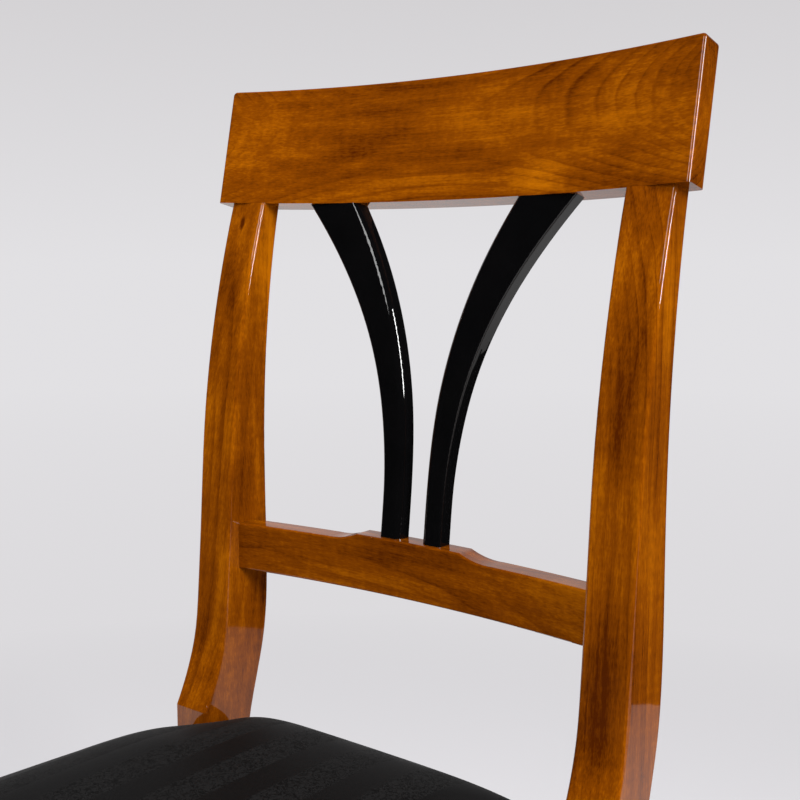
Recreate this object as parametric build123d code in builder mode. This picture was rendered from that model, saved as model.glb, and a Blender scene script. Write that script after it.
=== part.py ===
from build123d import *
from math import cos, exp, radians, sin, sqrt, tan
import os

# A dining chair: two back posts that run down into swept rear legs, a broad hollow
# crest rail, a cross rail with a tablet, two black splats that fork upwards, and an
# upholstered seat that is screwed down on four rails.
# X is across the chair, it faces -Y, Z is up, and the floor is Z = 0.
# The origin is on the floor, in the middle of the chair's width and depth.
# Left is the side at -X, as someone sees it who stands in front of the chair.

os.makedirs("parts", exist_ok=True)

# Whole chair
chair_depth = 520
seat_front_width = 456
overrun = 20

# Back
crest_foot_height = 831.6
elbow_height = 450
elbow_reach = 82.3
post_gap = 305
post_width = 34
post_arris = 2.6
elbow_arris = 1.4

# Rear leg below the elbow, as far as the foot
foot_overhang = 45
rear_foot_depth = 28

# Crest rail
crest_width = 393
crest_height = 88.5
crest_thickness = 20.4
crest_hollow = 19.1
crest_tilt = 11.5
crest_front_arris = 2.2
crest_back_arris = 3.2

# Cross rail
cross_height = 554.7
cross_end_height = 35.9
cross_tablet_rise = 4.8
cross_thickness = 16.4
cross_hollow = 12.7
cross_setback = 8.9
cross_tablet_width = 90
cross_cove_width = 27
cross_arris = 1.6

# Splats
splat_lean = 6.13
splat_depth = 12.5
splat_spread = 113.2
splat_inner_arris = 6.5
splat_outer_arris = 2.4
splat_back_arris = 1.6
splat_setback = 3.6

# Seat rails and front legs
seat_rail_top = 405
seat_rail_height = 58
seat_rail_thickness = 22
seat_rail_arris = 1.5
seat_rail_setback = 1.5
rear_rail_inset = 40
front_leg_size = 36
front_foot_size = 26
leg_arris = 2.2
tenon_thickness = 10
tenon_shoulder = 8
leg_tenon_length = 17
post_tenon_length = 20
glue_gap = 1

# Glides under the feet
glide_thickness = 4
glide_radius = 10
glide_arris = 1
glide_nail_radius = 1.5
glide_nail_length = 14

# Corner blocks and their screws
block_leg = 60
block_height = 30
block_clearance = 0.5
screw_radius = 2
screw_head_radius = 4
screw_head_height = 2.4
screw_seat_depth = 12
screw_grip = 15
counterbore_clearance = 0.6
seat_screw_recess = 12
seat_screw_grip = 12
seat_screw_in = 18
seat_screw_away = 8.5
fit_clearance = 0.05

# Dowels
crest_dowel_radius = 4
crest_dowel_length = 50
crest_dowel_spacing = 15
cross_dowel_radius = 3
cross_dowel_length = 26
cross_dowel_spacing = 15
splat_dowel_radius = 2.5
splat_dowel_length = 24
frame_dowel_radius = 4
frame_dowel_length = 36
frame_dowel_spacing = 22

# Seat pad
pad_inset = 1.5
pad_post_gap = 0.8
pad_rear_inset = 2
pad_edge_height = 28.8
pad_full_height = 20
pad_crown = 38.7
pad_ease = 24.5
pad_shoulder = 95
pad_shoulder_fall = 1.6
pad_drawn_in = 2.5
pad_top_round = 12
pad_corner_margin = 2
pad_front_margin = 4
cover_thickness = 1.2
cover_hem = 26
cover_hem_thickness = 1

# Seat frame inside the pad
frame_thickness = 16
frame_side_width = 45
frame_joint_gap = 5
frame_fit = 0.3

# Webbing, hessian and dust cover
strap_width = 50
strap_thickness = 2
strap_ramp = 9
strap_landing = 28
lengthwise_pitch = 88
crosswise_pitch = 92
strap_count = 3
tack_head_radius = 3
tack_head_height = 0.8
tack_radius = 0.9
tack_length = 11
tack_edge = 10
tacks_per_end = 3
hessian_thickness = 1
hessian_inset = 16
dust_cover_gap = 0.3

# Places that follow from the sizes above
front_y = -chair_depth / 2
crest_y = chair_depth / 2 - foot_overhang
elbow_y = crest_y - elbow_reach
post_inner = post_gap / 2
post_outer = post_inner + post_width
back_rise = crest_foot_height - elbow_height
leg_sweep = elbow_reach + foot_overhang
seat_rail_bottom = seat_rail_top - seat_rail_height
side_slope = (seat_front_width / 2 - post_outer) / (elbow_y - front_y)
front_leg_back = front_y + front_leg_size
front_leg_inner = seat_front_width / 2 - front_leg_size
frame_bottom = seat_rail_top + cover_hem_thickness
frame_top = frame_bottom + frame_thickness
foam_bottom = frame_top + strap_thickness + hessian_thickness

crest_plane = Plane(
    origin=(0, crest_y, crest_foot_height),
    x_dir=(1, 0, 0),
    z_dir=(0, sin(radians(crest_tilt)), cos(radians(crest_tilt))),
)


def under_crest(y):
    """Height of the crest rail's underside at depth y."""
    return crest_foot_height - (y - crest_y) * tan(radians(crest_tilt))


def side_x(y, inset=0):
    """Half the seat's width at depth y, drawn in square to the slanting side."""
    return post_outer + (elbow_y - y) * side_slope - inset * sqrt(1 + side_slope**2)


def arc_radius(chord, rise):
    """Radius of the arc with this chord and rise."""
    return (chord**2 / 4 + rise**2) / (2 * rise)


def mirrored(piece):
    """The same piece on the other side of the chair."""
    with BuildPart() as other:
        mirror(piece.part, about=Plane.YZ)
    return other


def filled(*points):
    """Add a straight-sided face to the sketch that is being drawn."""
    Polygon(*points, align=None)


def rods(planes, radius, length, clearance=0):
    """Round rods that start on the given planes and run along their normals."""
    with BuildPart() as group:
        for plane in planes:
            with BuildSketch(plane):
                Circle(radius + clearance)
            extrude(amount=length)
    return group


# Rear leg and back post, one piece
# Each row: height as a share of the rise from elbow to crest, depth as a share of the reach
post_front_shares = [(0.8, 0.412), (0.576, 0.581), (0.377, 0.653), (0.223, 0.709), (0.131, 0.764)]
post_front_foot_share = (0.058, 0.873)
post_back_shares = [(0.8, 0.092), (0.576, 0.168), (0.377, 0.167), (0.223, 0.167), (0.131, 0.209)]
post_top_front_share = 0.16
post_top_back_share = -0.055
# Each row: height as a share of the elbow's, depth as a share of the leg's sweep
leg_back_shares = [(0.974, 0.386), (0.878, 0.333), (0.756, 0.325), (0.556, 0.434), (0.289, 0.677)]
# Each row: height as a share of the seat rail's underside, depth as a share of the sweep
leg_front_shares = [(0.8, 0.072), (0.6, 0.2), (0.33, 0.468)]


def on_post(row):
    """A point of the post's outline above the elbow."""
    return (crest_y - row[1] * elbow_reach, elbow_height + row[0] * back_rise)


foot_back_y = chair_depth / 2
foot_front_y = foot_back_y - rear_foot_depth
top_front_y = crest_y - post_top_front_share * elbow_reach
top_back_y = crest_y - post_top_back_share * elbow_reach
top_front = (top_front_y, under_crest(top_front_y))
top_back = (top_back_y, under_crest(top_back_y))
elbow = (elbow_y, elbow_height)
knee = (elbow_y, seat_rail_bottom)
foot_front = (foot_front_y, glide_thickness)
foot_back = (foot_back_y, glide_thickness)
leg_front = [(elbow_y + row[1] * leg_sweep, row[0] * seat_rail_bottom) for row in leg_front_shares]
leg_back = [(elbow_y + row[1] * leg_sweep, row[0] * elbow_height) for row in leg_back_shares]
post_front = [on_post(row) for row in post_front_shares]
post_back = [on_post(row) for row in post_back_shares]
post_flare = on_post(post_front_foot_share)


def tenon_side(y_from, y_to):
    """Plan of a side rail's tenon, which lies along the slanting rail."""
    half = tenon_thickness / 2 * sqrt(1 + side_slope**2)
    middle = seat_rail_setback + seat_rail_thickness / 2
    filled(
        (side_x(y_from, middle) - half, y_from),
        (side_x(y_from, middle) + half, y_from),
        (side_x(y_to, middle) + half, y_to),
        (side_x(y_to, middle) - half, y_to),
    )


tenon_height = seat_rail_height - 2 * tenon_shoulder
tenon_plane = Plane.XY.offset(seat_rail_bottom + tenon_shoulder)
rear_rail_back = crest_y - rear_rail_inset
rear_rail_front = rear_rail_back - seat_rail_thickness
rear_rail_middle = (rear_rail_back + rear_rail_front) / 2
front_rail_front = front_y + seat_rail_setback
front_rail_back = front_rail_front + seat_rail_thickness
front_rail_middle = (front_rail_front + front_rail_back) / 2


def tenon_across(x_from, x_to, y_middle):
    """Plan of a tenon of the front or rear rail, which lies along X."""
    filled(
        (x_from, y_middle - tenon_thickness / 2),
        (x_to, y_middle - tenon_thickness / 2),
        (x_to, y_middle + tenon_thickness / 2),
        (x_from, y_middle + tenon_thickness / 2),
    )


# Dowels, made first because their holes are cut in what they join
post_top_y = (top_front_y + top_back_y) / 2 - crest_y
crest_dowel_depth = post_top_y / cos(radians(crest_tilt))
crest_dowel_planes = []
for side in (-1, 1):
    for step in (-1, 1):
        dowel_x = side * (post_inner + post_width / 2) + step * crest_dowel_spacing / 2
        crest_dowel_planes.append(
            Plane(
                origin=crest_plane.from_local_coords((dowel_x, crest_dowel_depth, -crest_dowel_length / 2)),
                x_dir=crest_plane.x_dir,
                z_dir=crest_plane.z_dir,
            )
        )
crest_dowels = rods(crest_dowel_planes, crest_dowel_radius, crest_dowel_length)
crest_holes = rods(crest_dowel_planes, crest_dowel_radius, crest_dowel_length, fit_clearance)

post_face_share = 0.653
cross_end_y = crest_y - post_face_share * elbow_reach + cross_setback
cross_middle_y = cross_end_y + cross_thickness / 2
cross_dowel_planes = []
for side in (-1, 1):
    for step in (-1, 1):
        cross_dowel_planes.append(
            Plane(
                origin=(
                    side * (post_inner - cross_dowel_length / 2),
                    cross_middle_y,
                    cross_height + cross_end_height / 2 + step * cross_dowel_spacing / 2,
                ),
                x_dir=(0, 1, 0),
                z_dir=(side, 0, 0),
            )
        )
cross_dowels = rods(cross_dowel_planes, cross_dowel_radius, cross_dowel_length)
cross_holes = rods(cross_dowel_planes, cross_dowel_radius, cross_dowel_length, fit_clearance)

# Splat outline, symmetric about the middle of the chair
# Each row: height as a share of the way to the crest, inner and outer edge as shares of the spread
splat_shares = [
    (0, 0.08, 0.235),
    (0.2, 0.083, 0.242),
    (0.4, 0.114, 0.302),
    (0.6, 0.202, 0.438),
    (0.8, 0.358, 0.673),
    (1, 0.593, 1.004),
    (1.08, 0.705, 1.157),
]
tablet_top = cross_height + cross_end_height + cross_tablet_rise
splat_rise = (crest_foot_height - tablet_top) / cos(radians(splat_lean))
cross_front_y = cross_end_y + cross_hollow
splat_plane = Plane(
    origin=(0, cross_front_y + splat_setback, tablet_top),
    x_dir=(1, 0, 0),
    z_dir=(0, -cos(radians(splat_lean)), sin(radians(splat_lean))),
)
splat_inner = [(row[1] * splat_spread, row[0] * splat_rise) for row in splat_shares]
splat_outer = [(row[2] * splat_spread, row[0] * splat_rise) for row in splat_shares]
splat_foot_x = (splat_inner[0][0] + splat_outer[0][0]) / 2
splat_top_x = (splat_inner[-2][0] + splat_outer[-2][0]) / 2
splat_middle_y = cross_front_y + splat_setback + splat_depth / 2
splat_top_y = splat_middle_y + (crest_foot_height - tablet_top) * tan(radians(splat_lean))
splat_dowel_planes = []
for side in (-1, 1):
    splat_dowel_planes.append(
        Plane(
            origin=(side * splat_foot_x, splat_middle_y, tablet_top - splat_dowel_length / 2),
            x_dir=(1, 0, 0),
            z_dir=(0, 0, 1),
        )
    )
    splat_dowel_planes.append(
        Plane(
            origin=crest_plane.from_local_coords(
                (side * splat_top_x, splat_top_y - crest_y, -splat_dowel_length / 2)
            ),
            x_dir=crest_plane.x_dir,
            z_dir=crest_plane.z_dir,
        )
    )
splat_dowels = rods(splat_dowel_planes, splat_dowel_radius, splat_dowel_length)
splat_holes = rods(splat_dowel_planes, splat_dowel_radius, splat_dowel_length, fit_clearance)

# Glides, one under each foot, each with its nail
rear_glide_place = (post_inner + post_width / 2, (foot_front_y + foot_back_y) / 2)
front_glide_place = (
    side_x(front_y + front_foot_size / 2) - front_foot_size / 2,
    front_y + front_foot_size / 2,
)


def glide(place, clearance=0):
    """A round glide, flat on the floor, with a nail that goes up into the foot."""
    with BuildPart() as piece:
        with BuildSketch(Plane.XY):
            with Locations(place):
                Circle(glide_radius)
        extrude(amount=glide_thickness)
        chamfer(piece.edges().group_by(Axis.Z)[0], glide_arris)
        with BuildSketch(Plane.XY.offset(glide_thickness)):
            with Locations(place):
                Circle(glide_nail_radius + clearance)
        extrude(amount=glide_nail_length)
    return piece


glide_front_right = glide(front_glide_place)
glide_rear_right = glide(rear_glide_place)
glide_front_left = mirrored(glide_front_right)
glide_rear_left = mirrored(glide_rear_right)

# Rear leg
with BuildPart() as rear_leg_right:
    with BuildSketch(Plane.YZ.offset(post_inner)):
        with BuildLine():
            Line(top_back, top_front)
            Spline(top_front, *post_front, post_flare, elbow)
            Line(elbow, knee)
            Spline(knee, *leg_front, foot_front)
            Line(foot_front, foot_back)
            Spline(foot_back, *reversed(leg_back), *reversed(post_back), top_back)
        make_face()
    extrude(amount=post_width)
    elbow_edge = rear_leg_right.edges().filter_by(Axis.X).sort_by_distance((post_inner, *elbow))[0]
    fillet(elbow_edge, elbow_arris)
    outline_edges = rear_leg_right.faces().filter_by(Axis.X).edges()
    end_edges = outline_edges.sort_by(Axis.Z)
    fillet(outline_edges - end_edges[:2] - end_edges[-2:], post_arris)
    add(crest_holes.part, mode=Mode.SUBTRACT)
    add(cross_holes.part, mode=Mode.SUBTRACT)
    add(glide(rear_glide_place, fit_clearance).part, mode=Mode.SUBTRACT)
    with BuildSketch(tenon_plane):
        tenon_side(elbow_y - overrun, elbow_y + post_tenon_length + glue_gap)
        tenon_across(post_inner, post_inner + post_tenon_length - tenon_shoulder / 2, rear_rail_middle)
    extrude(amount=tenon_height, mode=Mode.SUBTRACT)
rear_leg_left = mirrored(rear_leg_right)

# Crest rail, an arc in plan, raised along its tilt
crest_radius = arc_radius(crest_width, crest_hollow)
crest_back_end = sqrt((crest_radius + crest_thickness) ** 2 - (crest_width / 2) ** 2) - crest_radius
with BuildPart() as crest_rail:
    with BuildSketch(crest_plane):
        with BuildLine():
            ThreePointArc((-crest_width / 2, -crest_hollow), (0, 0), (crest_width / 2, -crest_hollow))
            Line((crest_width / 2, -crest_hollow), (crest_width / 2, crest_back_end))
            ThreePointArc(
                (crest_width / 2, crest_back_end), (0, crest_thickness), (-crest_width / 2, crest_back_end)
            )
            Line((-crest_width / 2, crest_back_end), (-crest_width / 2, -crest_hollow))
        make_face()
    extrude(amount=crest_height)
    uprights = crest_rail.edges().filter_by(lambda edge: edge.geom_type == GeomType.LINE)
    uprights = uprights.filter_by(lambda edge: edge.length > crest_height / 2)
    fillet(uprights.group_by(Axis.Y)[-1], crest_back_arris)
    top_edges = crest_rail.faces().sort_by(Axis.Z)[-1].edges()
    back_top = top_edges.sort_by(Axis.Y)[-1]
    end_tops = top_edges.sort_by(Axis.X)[0], top_edges.sort_by(Axis.X)[-1]
    fillet([back_top, *end_tops], crest_back_arris)
    front_face = crest_rail.faces().filter_by(GeomType.CYLINDER).sort_by(Axis.Y)[0]
    fillet(front_face.edges(), crest_front_arris)
    add(crest_holes.part, mode=Mode.SUBTRACT)
    add(splat_holes.part, mode=Mode.SUBTRACT)

# Cross rail, an arc in plan, with its tablet and coves in front view
cross_radius = arc_radius(post_gap, cross_hollow)
cross_back_end = sqrt((cross_radius + cross_thickness) ** 2 - post_inner**2) - cross_radius
cross_plane = Plane(origin=(0, cross_front_y, cross_height))
tablet_half = cross_tablet_width / 2
cove_end = tablet_half + cross_cove_width
cove_middle_share = 0.42
cove_sag_share = 0.76
with BuildPart() as cross_rail:
    with BuildSketch(cross_plane):
        with BuildLine():
            ThreePointArc((-post_inner, -cross_hollow), (0, 0), (post_inner, -cross_hollow))
            Line((post_inner, -cross_hollow), (post_inner, cross_back_end))
            ThreePointArc((post_inner, cross_back_end), (0, cross_thickness), (-post_inner, cross_back_end))
            Line((-post_inner, cross_back_end), (-post_inner, -cross_hollow))
        make_face()
    extrude(amount=cross_end_height + cross_tablet_rise)
    with BuildSketch(Plane.XZ.offset(-cross_front_y)):
        for side in (-1, 1):
            with BuildLine():
                ThreePointArc(
                    (side * tablet_half, tablet_top),
                    (
                        side * (tablet_half + cove_middle_share * cross_cove_width),
                        tablet_top - cove_sag_share * cross_tablet_rise,
                    ),
                    (side * cove_end, tablet_top - cross_tablet_rise),
                )
                Polyline(
                    (side * cove_end, tablet_top - cross_tablet_rise),
                    (side * (post_inner + overrun), tablet_top - cross_tablet_rise),
                    (side * (post_inner + overrun), tablet_top + overrun),
                    (side * tablet_half, tablet_top + overrun),
                    (side * tablet_half, tablet_top),
                )
            make_face()
    extrude(amount=post_gap, both=True, mode=Mode.SUBTRACT)
    ends = cross_rail.faces().filter_by(Axis.X)
    long_faces = cross_rail.faces().filter_by(GeomType.CYLINDER).sort_by(Axis.Y)
    fillet(long_faces[0].edges() - ends.edges(), cross_arris)
    add(cross_holes.part, mode=Mode.SUBTRACT)
    add(splat_holes.part, mode=Mode.SUBTRACT)

# Splats, cut off flat on the tablet and under the crest rail
inner_end = Vector(*splat_inner[-1]) - Vector(*splat_inner[-2])
outer_end = Vector(*splat_outer[-2]) - Vector(*splat_outer[-1])
with BuildPart() as splat_right:
    with BuildSketch(splat_plane):
        with BuildLine():
            Line((splat_inner[0][0], -overrun), splat_inner[0])
            Spline(*splat_inner, tangents=((0, 1), inner_end))
            Line(splat_inner[-1], splat_outer[-1])
            Spline(*reversed(splat_outer), tangents=(outer_end, (0, -1)))
            Line(splat_outer[0], (splat_outer[0][0], -overrun))
            Line((splat_outer[0][0], -overrun), (splat_inner[0][0], -overrun))
        make_face()
    extrude(amount=-splat_depth)
    for place, arris in ((0, splat_inner_arris), (-1, splat_outer_arris)):
        front = splat_right.faces().filter_by(splat_plane).sort_by(Axis.Y)[0]
        long_front = front.edges().filter_by(lambda edge: edge.length > splat_rise / 2)
        fillet(long_front.sort_by(Axis.X)[place], arris)
    back = splat_right.faces().filter_by(splat_plane).sort_by(Axis.Y)[-1]
    long_back = back.edges().filter_by(lambda edge: edge.length > splat_rise / 2)
    fillet(long_back, splat_back_arris)
    split(bisect_by=Plane.XY.offset(tablet_top), keep=Keep.TOP)
    split(bisect_by=crest_plane, keep=Keep.BOTTOM)
    add(splat_holes.part, mode=Mode.SUBTRACT)
splat_left = mirrored(splat_right)

# Front leg: a square block between the rails, tapered on its inner faces below them


def leg_plan(size):
    """Plan of a front leg, whose outer side follows the seat."""
    filled(
        (side_x(front_y), front_y),
        (side_x(front_y + size), front_y + size),
        (seat_front_width / 2 - size, front_y + size),
        (seat_front_width / 2 - size, front_y),
    )


with BuildPart() as front_leg_right:
    with BuildSketch(Plane.XY.offset(glide_thickness)):
        leg_plan(front_foot_size)
    with BuildSketch(Plane.XY.offset(seat_rail_bottom)) as leg_block:
        leg_plan(front_leg_size)
    loft(ruled=True)
    extrude(leg_block.sketch, amount=seat_rail_height)
    upright = front_leg_right.edges().filter_by(lambda edge: edge.length > seat_rail_height / 2)
    fillet(upright, leg_arris)
    add(glide(front_glide_place, fit_clearance).part, mode=Mode.SUBTRACT)
    with BuildSketch(tenon_plane):
        tenon_side(front_leg_back + overrun, front_leg_back - leg_tenon_length - glue_gap)
        tenon_across(front_leg_inner, front_leg_inner + leg_tenon_length + glue_gap, front_rail_middle)
    extrude(amount=tenon_height, mode=Mode.SUBTRACT)
front_leg_left = mirrored(front_leg_right)

# Corner block screws, square to the rails that they go into
rail_inner = seat_rail_setback + seat_rail_thickness
rear_block_y = elbow_y - block_clearance
front_block_y = front_leg_back + block_clearance
high_screw_share = 0.3
low_screw_share = 0.7
screw_share = 0.45
side_normal = Vector(1, side_slope, 0).normalized()
screw_starts = []
for x_start, y_wall, y_step in (
    (front_leg_inner - screw_share * block_leg, front_rail_back, 1),
    (post_inner - screw_share * block_leg, rear_rail_front, -1),
):
    height = seat_rail_top - high_screw_share * block_height
    start = Vector(x_start, y_wall + y_step * screw_seat_depth, height)
    screw_starts.append((start, Vector(0, -y_step, 0)))
for y_start in (front_block_y + screw_share * block_leg, rear_block_y - screw_share * block_leg):
    wall = Vector(side_x(y_start, rail_inner), y_start, seat_rail_top - low_screw_share * block_height)
    screw_starts.append((wall - side_normal * screw_seat_depth, side_normal))
for start, direction in list(screw_starts):
    screw_starts.append((Vector(-start.X, start.Y, start.Z), Vector(-direction.X, direction.Y, 0)))


def screws(starts, length, clearance=0, recess=0):
    """Flat-headed screws; with clearance and recess they are the holes for them."""
    with BuildPart() as group:
        for start, direction in starts:
            with BuildSketch(Plane(origin=start, z_dir=direction)):
                Circle(screw_radius + clearance)
            extrude(amount=length)
            with BuildSketch(Plane(origin=start, z_dir=-direction)):
                Circle(screw_head_radius + (counterbore_clearance if clearance else 0))
            extrude(amount=screw_head_height + recess)
    return group


block_screw_length = screw_seat_depth + screw_grip
corner_block_screws = screws(screw_starts, block_screw_length)
block_screw_holes = screws(screw_starts, block_screw_length, fit_clearance, block_leg / 2)

# Seat screws, up through the corner blocks
block_bottom = seat_rail_top - block_height
seat_screw_length = block_height - seat_screw_recess + cover_hem_thickness + seat_screw_grip
seat_screw_starts = []
for side in (-1, 1):
    for x_corner, y_corner, y_step in (
        (front_leg_inner, front_leg_back, 1),
        (post_inner, elbow_y, -1),
    ):
        seat_screw_starts.append(
            (
                Vector(
                    side * (x_corner - seat_screw_in),
                    y_corner + y_step * seat_screw_away,
                    block_bottom + seat_screw_recess,
                ),
                Vector(0, 0, 1),
            )
        )
seat_screws = screws(seat_screw_starts, seat_screw_length)
seat_screw_holes = screws(seat_screw_starts, seat_screw_length, fit_clearance, seat_screw_recess)

# Seat rails with their tenons
with BuildPart() as seat_rail_right:
    with BuildSketch(Plane.XY.offset(seat_rail_bottom)):
        filled(
            (side_x(elbow_y, seat_rail_setback), elbow_y),
            (side_x(front_leg_back, seat_rail_setback), front_leg_back),
            (side_x(front_leg_back, rail_inner), front_leg_back),
            (side_x(elbow_y, rail_inner), elbow_y),
        )
    extrude(amount=seat_rail_height)
    lower = seat_rail_right.faces().sort_by(Axis.Z)[0]
    fillet(lower.edges().filter_by(lambda edge: edge.length > block_leg), seat_rail_arris)
    with BuildSketch(tenon_plane):
        tenon_side(elbow_y, elbow_y + post_tenon_length)
        tenon_side(front_leg_back, front_leg_back - leg_tenon_length)
    extrude(amount=tenon_height)
    add(block_screw_holes.part, mode=Mode.SUBTRACT)
seat_rail_left = mirrored(seat_rail_right)


def rail_across(half_length, y_low, y_high, tenon_length):
    """A seat rail along X between two faces, with a tenon at each end."""
    with BuildPart() as rail:
        with BuildSketch(Plane.XY.offset(seat_rail_bottom)):
            filled(
                (-half_length, y_low),
                (half_length, y_low),
                (half_length, y_high),
                (-half_length, y_high),
            )
        extrude(amount=seat_rail_height)
        lower_face = rail.faces().sort_by(Axis.Z)[0]
        fillet(lower_face.edges().filter_by(Axis.X), seat_rail_arris)
        with BuildSketch(tenon_plane):
            reach = half_length + tenon_length
            tenon_across(-reach, reach, (y_low + y_high) / 2)
        extrude(amount=tenon_height)
        add(block_screw_holes.part, mode=Mode.SUBTRACT)
    return rail


seat_rail_front = rail_across(front_leg_inner, front_rail_front, front_rail_back, leg_tenon_length)
seat_rail_rear = rail_across(
    post_inner, rear_rail_front, rear_rail_back, post_tenon_length - tenon_shoulder / 2 - glue_gap
)

# Corner blocks, glued into the corners and cut out round the legs


def corner_block(x_post, y_post, y_wall, y_step):
    """A corner block: x_post and y_post are the leg's faces, y_wall is the rail's."""
    x_near = x_post - block_clearance
    y_near = y_post + y_step * block_clearance
    y_far = y_near + y_step * block_leg
    with BuildPart() as block:
        with BuildSketch(Plane.XY.offset(block_bottom)):
            filled(
                (x_near - block_leg, y_wall),
                (x_near, y_wall),
                (x_near, y_near),
                (side_x(y_near, rail_inner), y_near),
                (side_x(y_far, rail_inner), y_far),
            )
        extrude(amount=block_height)
        add(block_screw_holes.part, mode=Mode.SUBTRACT)
        add(seat_screw_holes.part, mode=Mode.SUBTRACT)
    return block


corner_block_front_right = corner_block(front_leg_inner, front_leg_back, front_rail_back, 1)
corner_block_rear_right = corner_block(post_inner, elbow_y, rear_rail_front, -1)
corner_block_front_left = mirrored(corner_block_front_right)
corner_block_rear_left = mirrored(corner_block_rear_right)

# Seat pad: its plan, notched round the posts
pad_front_y = front_y + pad_inset
pad_rear_y = rear_rail_back - pad_rear_inset
pad_notch_y = elbow_y - pad_post_gap
pad_notch_x = post_inner - pad_post_gap
pad_length = pad_rear_y - pad_front_y
pad_full_z = seat_rail_top + pad_full_height
pad_edge_z = seat_rail_top + pad_edge_height
pad_corner = pad_top_round + pad_corner_margin
pad_front_corner = pad_top_round + pad_front_margin
pad_corners = [
    (side_x(pad_front_y, pad_inset), pad_front_y),
    (side_x(pad_notch_y, pad_inset), pad_notch_y),
    (pad_notch_x, pad_notch_y),
    (pad_notch_x, pad_rear_y),
]


def pad_plan_sharp(inset=0):
    """Plan of the pad, drawn in by an inset, with sharp corners."""
    with BuildSketch(mode=Mode.PRIVATE) as plan:
        filled(*pad_corners, *[(-x, y) for x, y in reversed(pad_corners)])
        if inset:
            offset(amount=-inset, kind=Kind.INTERSECTION)
    return plan.sketch


def beside_post(corner):
    """Whether a corner of the pad's plan lies in front of a post, on the outside."""
    return abs(corner.X) > (post_inner + post_outer) / 2 and corner.Y > (pad_front_y + pad_notch_y) / 2


def in_notch(corner):
    """Whether a corner of the pad's plan is the inner corner of a notch."""
    is_near = abs(corner.Y - elbow_y) < post_width / 2
    return is_near and abs(abs(corner.X) - post_inner) < post_width / 4


def pad_plan(inset=0):
    """The same plan with round corners."""
    with BuildSketch(mode=Mode.PRIVATE) as plan:
        add(pad_plan_sharp(inset))
        fillet(plan.vertices().group_by(Axis.Y)[0], pad_front_corner - inset)
        fillet(plan.vertices().group_by(Axis.Y)[-1], pad_corner - inset)
        fillet(plan.vertices().filter_by(beside_post), pad_corner - inset)
        fillet(plan.vertices().filter_by(in_notch), post_arris + inset)
    return plan.sketch


# Crown of the pad. Each station: share of the pad's length
pad_station_shares = [-0.008, 0.014, 0.037, 0.07, 0.12, 0.21, 0.35]
pad_middle_share = 0.5
pad_end_crown_share = 0.85
pad_end_drop_share = 0.08
pad_flare = 4
stations = [*pad_station_shares, pad_middle_share, *[1 - share for share in reversed(pad_station_shares)]]


def dome(drop=0):
    """The crowned top of the pad, lofted from front to back, lowered by a drop."""
    with BuildPart() as crown_form:
        for share in stations:
            y = pad_front_y + share * pad_length
            to_front = exp(-(y - pad_front_y) / pad_ease)
            to_rear = exp(-(pad_rear_y - y) / pad_ease)
            crown = pad_crown * (1 - pad_end_crown_share * (to_front + to_rear))
            edge_z = pad_edge_z - pad_flare - drop - pad_crown * pad_end_drop_share * (to_front + to_rear)
            half = side_x(y, pad_inset) + pad_flare
            shoulder_x = half - pad_shoulder
            crown += pad_flare
            shoulder_z = edge_z + crown * (1 - pad_shoulder_fall / pad_crown)
            with BuildSketch(Plane.XZ.offset(-y)):
                with BuildLine():
                    middle = ThreePointArc(
                        (-shoulder_x, shoulder_z), (0, edge_z + crown), (shoulder_x, shoulder_z)
                    )
                    TangentArc(middle @ 1, (half, edge_z), tangent=middle % 1)
                    TangentArc(middle @ 0, (-half, edge_z), tangent=-(middle % 0))
                    Polyline(
                        (half, edge_z), (half, seat_rail_top), (-half, seat_rail_top), (-half, edge_z)
                    )
                make_face()
        loft()
    return crown_form


steep_share = 0.8
upright_share = 0.01
edge_middle_share = 0.5


def is_upright(face):
    """Whether a face of the pad is one of its side walls."""
    return abs(face.normal_at(face.center()).Z) < upright_share


def is_rim(edge):
    """Whether an edge of a side wall is its upper one."""
    is_high = edge.center().Z > pad_full_z + cover_thickness
    return is_high and abs(edge.tangent_at(edge_middle_share).Z) < steep_share


def pad_form(bottom_z, inset=0):
    """The outside of the pad, or a form that lies inside it by an inset."""
    with BuildPart() as form:
        with BuildSketch(Plane.XY.offset(pad_full_z)):
            add(pad_plan(inset))
        extrude(amount=pad_crown + pad_edge_height)
        add(dome(inset).part, mode=Mode.INTERSECT)
        walls = form.faces().filter_by(is_upright)
        fillet(walls.edges().filter_by(is_rim), pad_top_round - inset)
        with BuildSketch(Plane.XY.offset(bottom_z)):
            add(pad_plan(inset + pad_drawn_in))
        with BuildSketch(Plane.XY.offset(pad_full_z)):
            add(pad_plan(inset))
        loft(ruled=True)
    return form


# Seat frame, four members with dowels in the corners
frame_inset = pad_drawn_in + cover_thickness + frame_fit
frame_front_y = pad_front_y + frame_inset
frame_rear_y = pad_rear_y - frame_inset
screw_to_joint = screw_radius + frame_joint_gap + frame_dowel_length / 2
side_from_y = front_leg_back + seat_screw_away + screw_to_joint
side_to_y = elbow_y - seat_screw_away - screw_to_joint


def frame_x(y, inset=0):
    """Half the seat frame's width at depth y."""
    return side_x(y, pad_inset + frame_inset + inset)


frame_dowel_planes = []
for side in (-1, 1):
    for y_joint in (side_from_y, side_to_y):
        for step in (-1, 1):
            frame_dowel_planes.append(
                Plane(
                    origin=(
                        side * (frame_x(y_joint, frame_side_width / 2) + step * frame_dowel_spacing / 2),
                        y_joint - frame_dowel_length / 2,
                        frame_bottom + frame_thickness / 2,
                    ),
                    x_dir=(1, 0, 0),
                    z_dir=(0, 1, 0),
                )
            )
seat_frame_dowels = rods(frame_dowel_planes, frame_dowel_radius, frame_dowel_length)
frame_dowel_holes = rods(frame_dowel_planes, frame_dowel_radius, frame_dowel_length, fit_clearance)

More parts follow.
